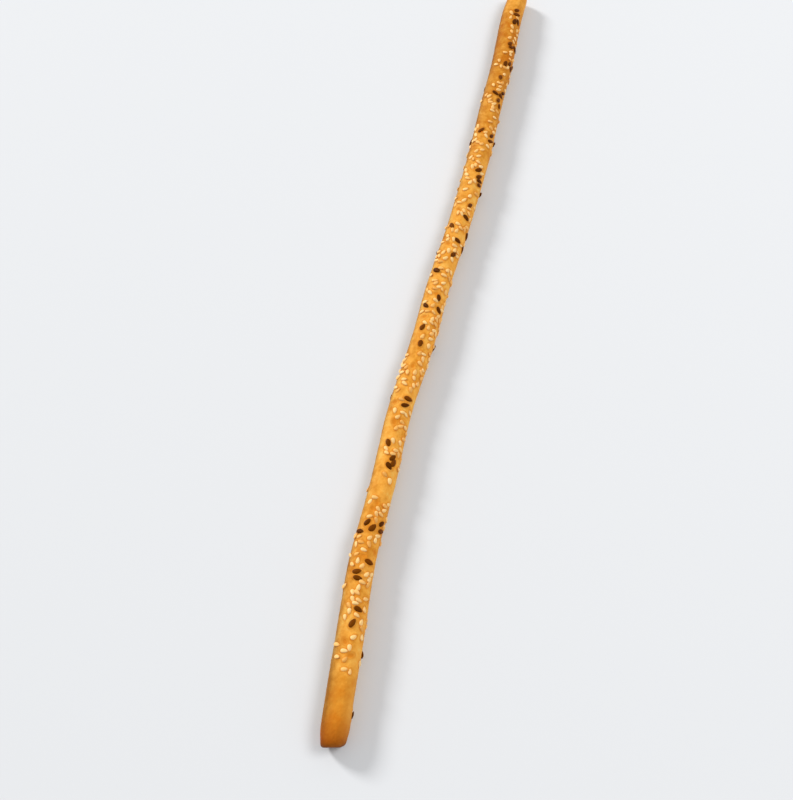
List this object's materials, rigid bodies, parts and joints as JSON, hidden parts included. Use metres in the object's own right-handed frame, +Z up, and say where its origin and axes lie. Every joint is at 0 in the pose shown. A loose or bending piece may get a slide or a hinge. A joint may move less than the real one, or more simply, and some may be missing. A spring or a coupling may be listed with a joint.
{
  "type": "seeded breadstick",
  "caption": "Long thin hand-rolled breadstick, gently bent, with a cut end, a rounded end and a flat underside, sown with sesame and flax seeds.",
  "frame": {"origin": "on the surface that the stick lies on, below the middle of the space that it takes up", "axes": "+X along the stick from its cut end to its rounded end, +Y to its left, +Z up"},
  "size_m": [0.4571, 0.0206, 0.0127],
  "materials": {
    "crust": "matte",
    "sesame": "satin",
    "flax": "satin"
  },
  "bodies": {
    "root": {"breadstick": "crust"}
  },
  "joints": []
}
